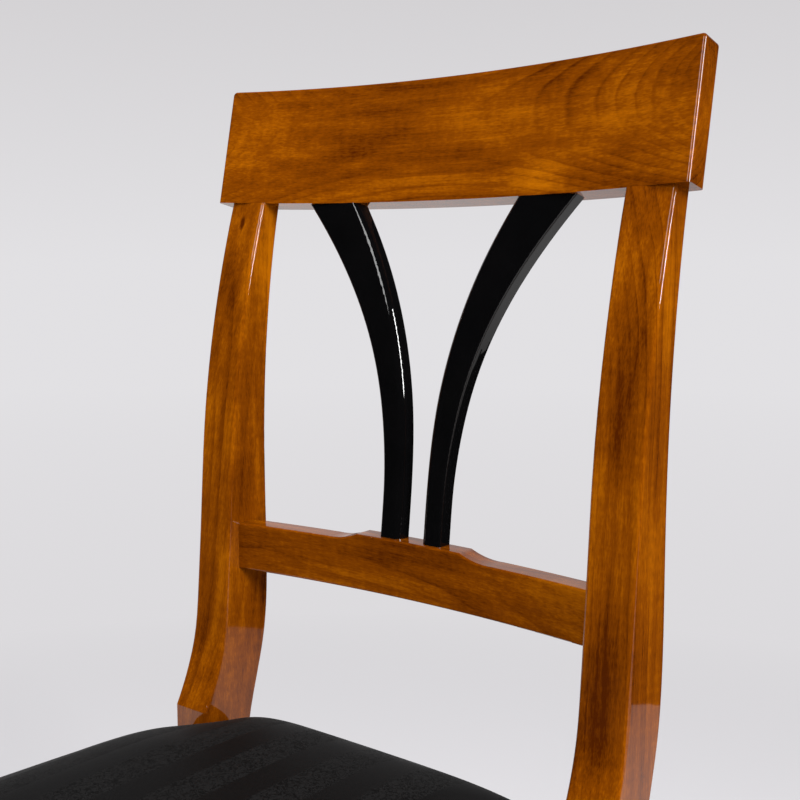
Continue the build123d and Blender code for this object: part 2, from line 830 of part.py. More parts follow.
# Webbing: each strap passes over and under the ones that cross it
lengthwise_places = [(index - (strap_count - 1) / 2) * lengthwise_pitch for index in range(strap_count)]
opening_middle_y = (side_from_y + side_to_y) / 2
crosswise_places = [
    opening_middle_y + (index - (strap_count - 1) / 2) * crosswise_pitch for index in range(strap_count)
]


def strap_profile(start, end, crossings, parity):
    """Side view of a strap: flat on the frame, dipping under every other crossing."""
    line = [(start, frame_top)]
    for index, place in enumerate(crossings):
        if (index + parity) % 2:
            reach = strap_width / 2
            line.append((place - reach - strap_ramp, frame_top))
            line.append((place - reach, frame_top - strap_thickness))
            line.append((place + reach, frame_top - strap_thickness))
            line.append((place + reach + strap_ramp, frame_top))
    line.append((end, frame_top))
    return [*line, *[(s, z + strap_thickness) for s, z in reversed(line)]]


def tack_planes_for(centre, across, along):
    """Places of the tacks at one end of a strap."""
    planes = []
    for index in range(tacks_per_end):
        step = (index - (tacks_per_end - 1) / 2) * (strap_width - 2 * tack_edge) / (tacks_per_end - 1)
        place = Vector(centre) + Vector(across) * step - Vector(along) * tack_edge
        planes.append(Plane(origin=place, z_dir=(0, 0, -1)))
    return planes


tack_planes = []
strap_top = frame_top + strap_thickness
lengthwise_from = side_from_y - strap_landing
lengthwise_to = side_to_y + strap_landing
for x in lengthwise_places:
    tack_planes += tack_planes_for((x, lengthwise_from, strap_top), (1, 0, 0), (0, -1, 0))
    tack_planes += tack_planes_for((x, lengthwise_to, strap_top), (1, 0, 0), (0, 1, 0))
crosswise_reach = [frame_x(y + strap_width / 2, frame_side_width) + strap_landing for y in crosswise_places]
for y, reach in zip(crosswise_places, crosswise_reach):
    tack_planes += tack_planes_for((-reach, y, strap_top), (0, 1, 0), (-1, 0, 0))
    tack_planes += tack_planes_for((reach, y, strap_top), (0, 1, 0), (1, 0, 0))


def tacks(clearance=0):
    """Tacks with flat heads let into the straps."""
    with BuildPart() as group:
        for plane in tack_planes:
            with BuildSketch(plane):
                Circle(tack_head_radius + clearance)
            extrude(amount=tack_head_height)
            with BuildSketch(plane):
                Circle(tack_radius + clearance)
            extrude(amount=tack_length)
    return group


webbing_tacks = tacks()
tack_holes = tacks(fit_clearance)

with BuildPart() as webbing_lengthwise:
    for index, x in enumerate(lengthwise_places):
        with BuildSketch(Plane.YZ.offset(x)):
            filled(*strap_profile(lengthwise_from, lengthwise_to, crosswise_places, index))
        extrude(amount=strap_width / 2, both=True)
    add(tack_holes.part, mode=Mode.SUBTRACT)

with BuildPart() as webbing_crosswise:
    for index, y in enumerate(crosswise_places):
        with BuildSketch(Plane.XZ.offset(-y)):
            reach = crosswise_reach[index]
            filled(*strap_profile(-reach, reach, lengthwise_places, index + 1))
        extrude(amount=strap_width / 2, both=True)
    add(tack_holes.part, mode=Mode.SUBTRACT)


def frame_member(*points):
    """A member of the seat frame: what these points take from the frame's plan."""
    with BuildPart() as member:
        with BuildSketch(Plane.XY.offset(frame_bottom)):
            add(pad_plan(frame_inset))
            Polygon(*points, align=None, mode=Mode.INTERSECT)
        extrude(amount=frame_thickness)
        add(frame_dowel_holes.part, mode=Mode.SUBTRACT)
        add(seat_screw_holes.part, mode=Mode.SUBTRACT)
        add(tack_holes.part, mode=Mode.SUBTRACT)
    return member


wide = seat_front_width
seat_frame_front = frame_member(
    (-wide, frame_front_y - overrun),
    (wide, frame_front_y - overrun),
    (wide, side_from_y),
    (-wide, side_from_y),
)
seat_frame_rear = frame_member(
    (-wide, side_to_y),
    (wide, side_to_y),
    (wide, frame_rear_y + overrun),
    (-wide, frame_rear_y + overrun),
)
seat_frame_right = frame_member(
    (frame_x(side_from_y, frame_side_width), side_from_y),
    (wide, side_from_y),
    (wide, side_to_y),
    (frame_x(side_to_y, frame_side_width), side_to_y),
)
seat_frame_left = mirrored(seat_frame_right)

with BuildPart() as hessian:
    with BuildSketch(Plane.XY.offset(strap_top)):
        add(pad_plan_sharp(hessian_inset))
    extrude(amount=hessian_thickness)

# Foam, and the cover round foam and frame
with BuildPart() as seat_foam:
    add(pad_form(frame_bottom, cover_thickness).part)
    split(bisect_by=Plane.XY.offset(foam_bottom), keep=Keep.TOP)

with BuildPart() as seat_cover:
    add(pad_form(seat_rail_top).part)
    add(pad_form(frame_bottom, cover_thickness).part, mode=Mode.SUBTRACT)
    with BuildSketch(Plane.XY.offset(seat_rail_top)):
        add(pad_plan_sharp(cover_hem))
    extrude(amount=cover_hem_thickness, mode=Mode.SUBTRACT)
    add(seat_screw_holes.part, mode=Mode.SUBTRACT)

with BuildPart() as dust_cover:
    with BuildSketch(Plane.XY.offset(seat_rail_top)):
        add(pad_plan_sharp(cover_hem + dust_cover_gap))
    extrude(amount=cover_hem_thickness)
    add(seat_screw_holes.part, mode=Mode.SUBTRACT)

pieces = {
    "rear_leg_left": rear_leg_left,
    "rear_leg_right": rear_leg_right,
    "front_leg_left": front_leg_left,
    "front_leg_right": front_leg_right,
    "crest_rail": crest_rail,
    "cross_rail": cross_rail,
    "splat_left": splat_left,
    "splat_right": splat_right,
    "crest_dowels": crest_dowels,
    "cross_rail_dowels": cross_dowels,
    "splat_dowels": splat_dowels,
    "seat_rail_front": seat_rail_front,
    "seat_rail_rear": seat_rail_rear,
    "seat_rail_left": seat_rail_left,
    "seat_rail_right": seat_rail_right,
    "corner_block_front_left": corner_block_front_left,
    "corner_block_front_right": corner_block_front_right,
    "corner_block_rear_left": corner_block_rear_left,
    "corner_block_rear_right": corner_block_rear_right,
    "corner_block_screws": corner_block_screws,
    "seat_screws": seat_screws,
    "seat_frame_front": seat_frame_front,
    "seat_frame_rear": seat_frame_rear,
    "seat_frame_left": seat_frame_left,
    "seat_frame_right": seat_frame_right,
    "seat_frame_dowels": seat_frame_dowels,
    "webbing_lengthwise": webbing_lengthwise,
    "webbing_crosswise": webbing_crosswise,
    "webbing_tacks": webbing_tacks,
    "hessian": hessian,
    "seat_foam": seat_foam,
    "seat_cover": seat_cover,
    "dust_cover": dust_cover,
    "glide_front_left": glide_front_left,
    "glide_front_right": glide_front_right,
    "glide_rear_left": glide_rear_left,
    "glide_rear_right": glide_rear_right,
}
for name, piece in pieces.items():
    piece.part.label = name
    export_step(piece.part, f"parts/{name}.step")
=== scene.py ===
import bpy
import bmesh
from math import cos, exp, pi, radians, sin, sqrt
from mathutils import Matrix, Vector
from mathutils.geometry import intersect_point_line


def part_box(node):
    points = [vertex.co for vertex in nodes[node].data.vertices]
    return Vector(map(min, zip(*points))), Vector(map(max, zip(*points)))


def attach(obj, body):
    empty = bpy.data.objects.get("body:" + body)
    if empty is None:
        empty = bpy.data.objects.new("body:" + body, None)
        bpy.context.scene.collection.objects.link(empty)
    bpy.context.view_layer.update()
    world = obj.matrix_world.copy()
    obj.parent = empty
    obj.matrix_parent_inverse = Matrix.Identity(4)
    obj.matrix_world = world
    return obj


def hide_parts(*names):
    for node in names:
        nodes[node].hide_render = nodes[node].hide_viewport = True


# A dining chair in lacquered cherry, with two black splats and a striped seat pad.
# Everything is in metres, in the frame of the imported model: the floor is Z = 0, the chair faces -Y.

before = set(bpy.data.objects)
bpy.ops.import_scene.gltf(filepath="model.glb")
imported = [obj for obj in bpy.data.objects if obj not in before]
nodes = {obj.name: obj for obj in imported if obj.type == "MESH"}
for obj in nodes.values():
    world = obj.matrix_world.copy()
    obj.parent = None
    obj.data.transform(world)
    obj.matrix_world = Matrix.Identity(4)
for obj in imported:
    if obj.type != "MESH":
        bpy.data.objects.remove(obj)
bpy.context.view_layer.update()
BODY = "root"

# Camera, at the photograph's place
CAMERA_PLACE = (0.4852, -0.4409, 0.7886)
CAMERA_DOWN = 6.725
CAMERA_YAW = 38.163
CAMERA_LENS = 52.31
CAMERA_SENSOR = 36

# Finishes, as linear colours
CHERRY_DARK = (0.070, 0.012, 0.0002, 1)
CHERRY_MIDDLE = (0.205, 0.047, 0.0004, 1)
CHERRY_LIGHT = (0.420, 0.118, 0.0010, 1)
BLACK_LACQUER_DARK = (0.0016, 0.0016, 0.0018, 1)
BLACK_LACQUER_LIGHT = (0.0030, 0.0028, 0.0030, 1)
BEECH_DARK = (0.30, 0.15, 0.07, 1)
BEECH_MIDDLE = (0.50, 0.29, 0.15, 1)
BEECH_LIGHT = (0.60, 0.38, 0.22, 1)
ZINC_DARK = (0.40, 0.40, 0.39, 1)
ZINC_LIGHT = (0.62, 0.62, 0.60, 1)
NYLON_DARK = (0.035, 0.024, 0.016, 1)
NYLON_LIGHT = (0.075, 0.055, 0.04, 1)
WEBBING_DARK = (0.12, 0.08, 0.035, 1)
WEBBING_LIGHT = (0.34, 0.25, 0.13, 1)
HESSIAN_DARK = (0.14, 0.09, 0.04, 1)
HESSIAN_LIGHT = (0.40, 0.28, 0.14, 1)
DUST_CLOTH_DARK = (0.004, 0.004, 0.004, 1)
DUST_CLOTH_LIGHT = (0.016, 0.016, 0.017, 1)
SEAT_CLOTH_DARK = (0.0004, 0.0004, 0.0005, 1)
SEAT_CLOTH_PLAIN = (0.0016, 0.0016, 0.0016, 1)
SEAT_CLOTH_FIGURED = (0.0078, 0.0076, 0.0077, 1)
SEAT_CLOTH_LINT = (0.018, 0.0175, 0.0175, 1)

# How deep the marks of every finish go
SURFACE_DEPTH = 0.0002
# Points that lie this near are one
MERGE = 1e-6
# Noise runs from 0 to 1 about this
NOISE_MIDDLE = 0.5


def grey(level):
    """A colour without hue."""
    return (level, level, level, 1)


def link_or_set(tree, socket, value):
    """Links a socket to a socket, or gives it a value."""
    if isinstance(value, bpy.types.NodeSocket):
        tree.links.new(value, socket)
    else:
        socket.default_value = value


def put(tree, kind, settings=None, **inputs):
    """A new shader node; an input's name has _ for a space."""
    node = tree.nodes.new("ShaderNode" + kind)
    for key, value in (settings or {}).items():
        setattr(node, key, value)
    for key, value in inputs.items():
        link_or_set(tree, node.inputs[key.replace("_", " ")], value)
    return node


def calc(tree, operation, *values, clamp=False):
    """A Math node's result."""
    node = put(tree, "Math", {"operation": operation, "use_clamp": clamp})
    for socket, value in zip(node.inputs, values):
        link_or_set(tree, socket, value)
    return node.outputs[0]


def vary(tree, value, amount, middle, clamp=False):
    """A value that is scaled by an amount and added to a middle, which can be a socket too."""
    return calc(tree, "MULTIPLY_ADD", value, amount, middle, clamp=clamp)


def vector_calc(tree, operation, *values):
    """A Vector Math node's result."""
    node = put(tree, "VectorMath", {"operation": operation})
    sockets = [node.inputs[3]] if operation == "SCALE" else []
    for socket, value in zip([node.inputs[0], *sockets, *node.inputs[1:3]], values):
        link_or_set(tree, socket, value)
    return node.outputs["Value" if operation in ("DOT_PRODUCT", "LENGTH") else "Vector"]


def noise(tree, vector, scale, detail=2.0, roughness=0.5, seed=0.0, distortion=0.0):
    """Noise about zero, from roughly -0.5 to 0.5."""
    node = put(
        tree, "TexNoise", {"noise_dimensions": "4D"},
        Vector=vector, W=seed, Scale=scale, Detail=detail, Roughness=roughness, Distortion=distortion,
    )
    return calc(tree, "SUBTRACT", node.outputs[0], NOISE_MIDDLE)


def grain_noise(tree, place, repeats, detail=2.0, roughness=0.5, seed=0.0):
    """Noise with its own number of repeats per metre along and across the grain."""
    return noise(tree, vector_calc(tree, "MULTIPLY", place, repeats), 1.0, detail, roughness, seed)


def ring_noise(tree, radius, repeats, detail, roughness, seed):
    """Noise that changes from one growth ring to the next, and stays the same along a ring."""
    outward = put(tree, "CombineXYZ", X=calc(tree, "MULTIPLY", radius, repeats)).outputs[0]
    return noise(tree, outward, 1.0, detail, roughness, seed)


def ramp(tree, value, *stops):
    """A colour ramp; each stop is its place and its colour."""
    node = put(tree, "ValToRGB", Fac=value)
    band = node.color_ramp.elements
    while len(band) < len(stops):
        band.new(0.5)
    for element, (place, colour) in zip(band, stops):
        element.position = place
        element.color = colour
    return node.outputs[0]


def bump(tree, height, strength, depth=SURFACE_DEPTH):
    """A surface's slope from a height."""
    return put(tree, "Bump", Strength=strength, Distance=depth, Height=height).outputs[0]


def start_material(name):
    """A new material with an empty tree."""
    material = bpy.data.materials.new(name)
    material.use_nodes = True
    material.node_tree.nodes.clear()
    return material, material.node_tree


def finish_material(tree, shader):
    """Connects a shader to the material's output."""
    output = put(tree, "OutputMaterial")
    tree.links.new(shader.outputs[0], output.inputs[0])


def object_place(tree, location=(0, 0, 0), turn=(0, 0, 0)):
    """Object coordinates as seen from a place, turned by degrees."""
    mapping = put(
        tree, "Mapping", {"vector_type": "TEXTURE"},
        Vector=put(tree, "TexCoord").outputs["Object"], Location=location,
        Rotation=[radians(angle) for angle in turn],
    )
    return mapping.outputs[0]


# Cherry: repeats per metre along and across the grain
WANDER_REPEATS = (3.0, 13.0, 13.0)
RIPPLE_REPEATS = (14.0, 60.0, 60.0)
FADE_REPEATS = (7.0, 38.0, 38.0)
UNEVEN_REPEATS = 150.0
BAND_REPEATS = 62.0
# How far the growth rings wander and ripple, and the smallest square of their radius
RING_WANDER = 0.020
RING_RIPPLE = 0.0026
LEAST_SQUARE = 1e-6
# A ring's line darkens slowly outwards, then stops
RING_LINE = ((0.0, grey(0)), (0.35, grey(0.06)), (0.72, grey(0.40)), (0.88, grey(1)), (1.0, grey(0)))
RING_LINE_TONE = 0.27
FADE_CONTRAST = 3.0
FADE_MIDDLE = 0.42
MIDDLE_TONE = 0.52
BAND_TONE = 0.95
# Layers of the cherry's figure, from broad to fine: repeats per metre along and across the
# grain, detail, roughness, the seed's step, and how much the layer adds to the tone
CHERRY_LAYERS = {
    "cloud": ((9.0, 24.0, 24.0), 2.0, 0.55, 5, 0.85),
    "streak": ((2.2, 130.0, 130.0), 3.0, 0.60, 4, 0.75),
    "fibre": ((22.0, 900.0, 900.0), 3.0, 0.70, 2, 0.50),
    "mottle": ((160.0, 70.0, 70.0), 2.0, 0.60, 9, 0.30),
    "pore": ((230.0, 1100.0, 1100.0), 1.0, 0.50, 6, 0.42),
}
# A patch, be it a stain or painted light or painted shade, is strong in its middle and soft at its rim
STAIN_AND_LIGHT_FALL = ((0.0, grey(1)), (0.45, grey(0.7)), (1.0, grey(0)))


def stain_and_light_patch(tree, centre, size):
    """A soft round spot: one in its middle, nothing at its rim."""
    off = vector_calc(tree, "SUBTRACT", put(tree, "TexCoord").outputs["Object"], centre)
    away = vector_calc(tree, "LENGTH", vector_calc(tree, "DIVIDE", off, size))
    return ramp(tree, away, *STAIN_AND_LIGHT_FALL)


def cherry(name, pith, turn, ring=0.0052, hump=0.0, seed=0.0, tone=0.0, stains_and_painted_light=()):
    """Amber cherry under clear lacquer. The grain runs along X of the turned place, and
    the growth rings lie round it; hump makes them swell in the middle of a board. Each
    patch is a soft lighter or darker spot: its place, its size and how much it adds. On
    the crest the patches are stains of the wood; on the posts they are painted light high
    up and painted shade lower down, with one knot."""
    material, tree = start_material(name)
    place = object_place(tree, pith, turn)
    wander = grain_noise(tree, place, WANDER_REPEATS, roughness=0.45, seed=seed)
    ripple = grain_noise(tree, place, RIPPLE_REPEATS, seed=seed + 7)
    squared = vector_calc(tree, "DOT_PRODUCT", place, vector_calc(tree, "MULTIPLY", place, (-hump, 1, 1)))
    radius = calc(tree, "SQRT", calc(tree, "MAXIMUM", squared, LEAST_SQUARE))
    radius = vary(tree, wander, RING_WANDER, radius)
    radius = vary(tree, ripple, RING_RIPPLE, radius)
    uneven = ring_noise(tree, radius, UNEVEN_REPEATS, detail=1.0, roughness=0.5, seed=seed)
    turns = calc(tree, "FRACT", calc(tree, "ADD", calc(tree, "DIVIDE", radius, ring), uneven))
    line = ramp(tree, turns, *RING_LINE)
    fade = grain_noise(tree, place, FADE_REPEATS, seed=seed + 3)
    fade = vary(tree, fade, FADE_CONTRAST, FADE_MIDDLE, clamp=True)
    band = ring_noise(tree, radius, BAND_REPEATS, detail=2.0, roughness=0.6, seed=seed + 11)
    level = vary(tree, band, BAND_TONE, MIDDLE_TONE + tone)
    layers = {}
    for layer, (repeats, detail, roughness, step, share) in CHERRY_LAYERS.items():
        layers[layer] = grain_noise(tree, place, repeats, detail, roughness, seed + step)
        level = vary(tree, layers[layer], share, level)
    drawn = calc(tree, "MULTIPLY", calc(tree, "MULTIPLY", line, fade), RING_LINE_TONE)
    level = calc(tree, "SUBTRACT", level, drawn)
    # Stains of the wood, and on the posts painted light and painted shade
    for centre, size, strength in stains_and_painted_light:
        level = vary(tree, stain_and_light_patch(tree, centre, size), strength, level)
    colour = ramp(tree, level, (0.08, CHERRY_DARK), (0.52, CHERRY_MIDDLE), (0.95, CHERRY_LIGHT))
    shader = put(
        tree, "BsdfPrincipled",
        Base_Color=colour, Roughness=vary(tree, layers["fibre"], amount=0.12, middle=0.5),
        Specular_IOR_Level=0.0, Coat_Weight=1.0, Coat_Roughness=0.03, Coat_IOR=1.45,
        Normal=bump(tree, layers["fibre"], strength=0.05),
    )
    finish_material(tree, shader)
    return material


# Black lacquer: repeats per metre of its waves and of its clouds
LACQUER_WAVES = 60.0
LACQUER_CLOUDS = 35.0


def black_lacquer():
    """High gloss black, with the faint waves of a sprayed and polished coat."""
    material, tree = start_material("black_lacquer")
    place = object_place(tree)
    waves = noise(tree, place, LACQUER_WAVES, seed=4)
    cloud = noise(tree, place, LACQUER_CLOUDS, seed=8)
    level = calc(tree, "ADD", cloud, NOISE_MIDDLE)
    shader = put(
        tree, "BsdfPrincipled",
        Base_Color=ramp(tree, level, (0.2, BLACK_LACQUER_DARK), (0.9, BLACK_LACQUER_LIGHT)),
        Roughness=vary(tree, cloud, amount=0.1, middle=0.35), Specular_IOR_Level=0.0,
        Coat_Weight=1.0, Coat_Roughness=0.02, Coat_IOR=1.5, Normal=bump(tree, waves, strength=0.03),
    )
    finish_material(tree, shader)
    return material


# Beech: repeats per metre along and across the grain, and where a fleck starts
BEECH_BROAD_REPEATS = (8.0, 70.0, 70.0)
BEECH_FLECK_REPEATS = (180.0, 1300.0, 1300.0)
BEECH_FLECK_START = 0.17
BEECH_FLECK_TONE = 0.3


def beech(name, turn, seed):
    """Bare sanded beech with short dark flecks along the grain."""
    material, tree = start_material(name)
    place = object_place(tree, turn=turn)
    broad = grain_noise(tree, place, BEECH_BROAD_REPEATS, detail=3.0, roughness=0.6, seed=seed)
    fleck = grain_noise(tree, place, BEECH_FLECK_REPEATS, detail=1.0, seed=seed + 1)
    fleck = calc(tree, "GREATER_THAN", fleck, BEECH_FLECK_START)
    level = vary(tree, broad, amount=0.9, middle=0.6)
    level = calc(tree, "SUBTRACT", level, calc(tree, "MULTIPLY", fleck, BEECH_FLECK_TONE))
    shader = put(
        tree, "BsdfPrincipled",
        Base_Color=ramp(tree, level, (0.1, BEECH_DARK), (0.6, BEECH_MIDDLE), (1.0, BEECH_LIGHT)),
        Roughness=0.62, Normal=bump(tree, level, strength=0.25),
    )
    finish_material(tree, shader)
    return material


# Zinc: repeats per metre of its grain
ZINC_GRAIN = 900.0


def zinc_steel():
    """Zinc plated screw steel."""
    material, tree = start_material("screw_steel")
    grain = noise(tree, object_place(tree), ZINC_GRAIN, roughness=0.6, seed=1)
    level = calc(tree, "ADD", grain, NOISE_MIDDLE)
    shader = put(
        tree, "BsdfPrincipled",
        Base_Color=ramp(tree, level, (0.2, ZINC_DARK), (0.8, ZINC_LIGHT)),
        Metallic=1.0, Roughness=vary(tree, grain, amount=0.2, middle=0.38),
    )
    finish_material(tree, shader)
    return material


# Nylon: repeats per metre of its scuffs, each way
NYLON_SCUFFS = (300.0, 300.0, 40.0)


def nylon():
    """Moulded brown nylon, scuffed where it slides."""
    material, tree = start_material("nylon")
    scuff = grain_noise(tree, object_place(tree), NYLON_SCUFFS, detail=3.0, roughness=0.6, seed=2)
    level = calc(tree, "ADD", scuff, NOISE_MIDDLE)
    shader = put(
        tree, "BsdfPrincipled",
        Base_Color=ramp(tree, level, (0.2, NYLON_DARK), (0.9, NYLON_LIGHT)),
        Roughness=vary(tree, scuff, amount=0.2, middle=0.5), Normal=bump(tree, scuff, strength=0.15),
    )
    finish_material(tree, shader)
    return material


# Plain cloths: slubs along the thread and clouds, in repeats per metre, and the pitch of threads
THREAD_SLUBS = (60.0, 700.0, 700.0)
THREAD_CLOUDS = 22.0
WEBBING_PITCH = 0.0016
HESSIAN_PITCH = 0.0022
DUST_CLOTH_PITCH = 0.0009
# How high a thread stands, as a share of the pitch
THREAD_RISE = 0.25


def weave(tree, place, pitch):
    """A plain weave's slope, with threads that cross at a pitch."""
    split = put(tree, "SeparateXYZ", Vector=vector_calc(tree, "SCALE", place, pi / pitch))
    across = calc(tree, "ABSOLUTE", calc(tree, "SINE", split.outputs[0]))
    along = calc(tree, "ABSOLUTE", calc(tree, "SINE", split.outputs[1]))
    return bump(tree, calc(tree, "MAXIMUM", across, along), strength=1.0, depth=pitch * THREAD_RISE)


def plain_cloth(name, dark, light, pitch, seed):
    """A plain woven cloth in a dark and a light tone of one colour."""
    material, tree = start_material(name)
    place = object_place(tree)
    slub = grain_noise(tree, place, THREAD_SLUBS, roughness=0.6, seed=seed)
    cloud = noise(tree, place, THREAD_CLOUDS, detail=3.0, roughness=0.6, seed=seed + 1)
    level = calc(tree, "ADD", vary(tree, slub, amount=0.8, middle=0.5), cloud)
    shader = put(
        tree, "BsdfPrincipled",
        Base_Color=ramp(tree, level, (0.1, dark), (0.9, light)),
        Roughness=0.9, Sheen_Weight=0.1, Sheen_Roughness=0.5, Normal=weave(tree, place, pitch),
    )
    finish_material(tree, shader)
    return material


# Seat cloth: stripes in metres across it, and its figure in repeats per metre
STRIPE_PERIOD = 0.0503
STRIPE_PLAIN_SHARE = 0.46
STRIPE_START = -0.0173
WORM_REPEATS = 230.0
WORM_BEND = 1.5
WORM_SHARPNESS = -13.0
LINT_REPEATS = 1100.0
LINT_START = 0.32
SLUB_REPEATS = (2600.0, 700.0, 1.0)
CLOTH_CLOUDS = 14.0
# What each of them adds to the cloth's tone and to its height
PLAIN_TONE = 0.22
FIGURED_TONE = 0.52
WORM_TONE = -0.62
SLUB_TONE = 0.60
CLOUD_TONE = 0.10
LINT_TONE = 0.6
WORM_HEIGHT = -0.5
SLUB_HEIGHT = 0.8


def striped_cloth():
    """Black seat cloth: plain satin stripes and slightly lighter ones with a fine figure."""
    material, tree = start_material("striped_cloth")
    cloth = put(tree, "UVMap", {"uv_map": "cloth"}).outputs[0]
    across = put(tree, "SeparateXYZ", Vector=cloth).outputs[0]
    turn = calc(tree, "DIVIDE", calc(tree, "SUBTRACT", across, STRIPE_START), STRIPE_PERIOD)
    figured = calc(tree, "GREATER_THAN", calc(tree, "FRACT", turn), STRIPE_PLAIN_SHARE)
    worm = noise(tree, cloth, WORM_REPEATS, detail=1.0, roughness=0.4, seed=3, distortion=WORM_BEND)
    worm = calc(tree, "ABSOLUTE", worm)
    worm = vary(tree, worm, WORM_SHARPNESS, 1.0, clamp=True)
    worm = calc(tree, "MULTIPLY", figured, worm)
    lint = noise(tree, cloth, LINT_REPEATS, detail=0.0, seed=8)
    lint = calc(tree, "GREATER_THAN", lint, LINT_START)
    slub = grain_noise(tree, cloth, SLUB_REPEATS, roughness=0.6, seed=6)
    cloud = noise(tree, cloth, CLOTH_CLOUDS, detail=3.0, roughness=0.6, seed=5)
    level = vary(tree, figured, FIGURED_TONE, PLAIN_TONE)
    for layer, share in ((worm, WORM_TONE), (slub, SLUB_TONE), (cloud, CLOUD_TONE), (lint, LINT_TONE)):
        level = vary(tree, layer, share, level)
    colour = ramp(
        tree, level,
        (0.0, SEAT_CLOTH_DARK), (0.35, SEAT_CLOTH_PLAIN),
        (0.75, SEAT_CLOTH_FIGURED), (1.0, SEAT_CLOTH_LINT),
    )
    ridge = vary(tree, worm, WORM_HEIGHT, calc(tree, "MULTIPLY", slub, SLUB_HEIGHT))
    shader = put(
        tree, "BsdfPrincipled",
        Base_Color=colour, Roughness=vary(tree, figured, amount=0.12, middle=0.62), Specular_IOR_Level=0.12,
        Sheen_Weight=0.012, Sheen_Roughness=0.35, Normal=bump(tree, ridge, strength=0.6),
    )
    finish_material(tree, shader)
    return material


def add_object(name, data):
    """A new object of the scene."""
    piece = bpy.data.objects.new(name, data)
    bpy.context.scene.collection.objects.link(piece)
    return piece


def mesh_of(builder, name):
    """A builder's mesh; the builder is used up."""
    mesh = bpy.data.meshes.new(name)
    builder.to_mesh(mesh)
    builder.free()
    return mesh


def apply_modifiers(piece):
    """Bakes a piece's modifiers into its mesh."""
    ready = piece.evaluated_get(bpy.context.evaluated_depsgraph_get())
    mesh = bpy.data.meshes.new_from_object(ready)
    piece.modifiers.clear()
    piece.data = mesh


def dress(names, material):
    """Gives CAD nodes a material in place of their own."""
    for name in names:
        slots = nodes[name].data.materials
        slots.clear()
        slots.append(material)


# Faces that meet at less than this many degrees are shaded as one
SMOOTH_ANGLE = 32
FLAT_FACE_WEIGHT = 100


def shell_of(name, material):
    """A copy of a CAD node with its corners merged and its faces shaded smooth."""
    copy = nodes[name].data.copy()
    copy.name = name + "_finish"
    builder = bmesh.new()
    builder.from_mesh(copy)
    bmesh.ops.remove_doubles(builder, verts=builder.verts, dist=MERGE)
    for face in builder.faces:
        face.smooth = True
        face.material_index = 0
    limit = radians(SMOOTH_ANGLE)
    for edge in builder.edges:
        edge.smooth = len(edge.link_faces) == 2 and edge.calc_face_angle(pi) < limit
    builder.to_mesh(copy)
    builder.free()
    copy.materials.clear()
    copy.materials.append(material)
    piece = add_object(name + "_finish", copy)
    flat = piece.modifiers.new("flat_faces", "WEIGHTED_NORMAL")
    flat.keep_sharp = True
    flat.weight = FLAT_FACE_WEIGHT
    apply_modifiers(piece)
    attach(piece, BODY)
    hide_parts(name)


# Stains of the wood on the crest, and painted light and painted shade on the posts: place, size, and how
# much each adds to the tone; the small one on the left post is a knot
CREST_STAINS = (
    ((0.0840, 0.21, 0.8470), (0.030, 0.05, 0.016), 0.34),
    ((-0.1500, 0.21, 0.8540), (0.075, 0.05, 0.013), -0.22),
    ((-0.0500, 0.21, 0.8740), (0.090, 0.05, 0.013), -0.20),
    ((0.1500, 0.21, 0.8950), (0.060, 0.05, 0.030), 0.10),
)
# Left post: painted light on its upper part, a painted shadow of the cross rail on its inner face under the
# rail, and a real knot
LEFT_POST_KNOT_AND_PAINTED_LIGHT = (
    ((-0.1520, 0.20, 0.7800), (0.012, 0.05, 0.080), 0.32),
    ((-0.1750, 0.15, 0.5500), (0.012, 0.04, 0.090), -0.16),
    ((-0.1710, 0.2010, 0.8190), (0.0032, 0.03, 0.0062), -0.75),
)
# Right post: painted light on its upper part, and painted shade that grows darker lower down towards the
# cross rail
RIGHT_POST_PAINTED_LIGHT = (
    ((0.1900, 0.20, 0.7800), (0.015, 0.05, 0.080), 0.24),
    ((0.1660, 0.14, 0.5400), (0.014, 0.05, 0.085), -0.42),
    ((0.1700, 0.16, 0.6700), (0.010, 0.05, 0.090), -0.14),
)
# Tilt of the crest rail, which its grain follows
CREST_TILT = 11.5
# Wood of each piece: the place of its pith and how its grain is turned, then its own traits
WOOD = {
    "crest_rail": cherry(
        "cherry_crest", (0.0, 0.155, 0.9061), (-CREST_TILT, 0, 0),
        hump=0.060, seed=1.0, stains_and_painted_light=CREST_STAINS,
    ),
    "cross_rail": cherry("cherry_cross_rail", (0.05, 0.11, 0.60), (0, 2, 2), seed=14.0),
    "rear_leg_left": cherry(
        "cherry_leg_left", (-0.20, 0.14, 0.70), (0, -83, 0),
        ring=0.0075, seed=23.0, tone=-0.02, stains_and_painted_light=LEFT_POST_KNOT_AND_PAINTED_LIGHT,
    ),
    "rear_leg_right": cherry(
        "cherry_leg_right", (0.10, 0.12, 0.70), (0, -89, 0),
        seed=31.0, tone=-0.03, stains_and_painted_light=RIGHT_POST_PAINTED_LIGHT,
    ),
    "front_leg_left": cherry("cherry_front_leg_left", (-0.16, -0.15, 0.2), (0, -88, 0), seed=42.0),
    "front_leg_right": cherry("cherry_front_leg_right", (0.24, -0.17, 0.2), (0, -91, 0), seed=47.0),
    "seat_rail_front": cherry("cherry_front_rail", (0.1, -0.19, 0.39), (0, 1, 0), seed=52.0, tone=-0.03),
    "seat_rail_rear": cherry("cherry_rear_rail", (0.0, 0.11, 0.37), (0, -1, 0), seed=58.0),
    "seat_rail_left": cherry("cherry_left_rail", (-0.15, 0, 0.40), (0, 0, 84), seed=63.0),
    "seat_rail_right": cherry("cherry_right_rail", (0.15, 0, 0.36), (0, 0, 96), seed=68.0),
}
for name, material in WOOD.items():
    shell_of(name, material)

lacquer = black_lacquer()
for name in ("splat_left", "splat_right"):
    shell_of(name, lacquer)

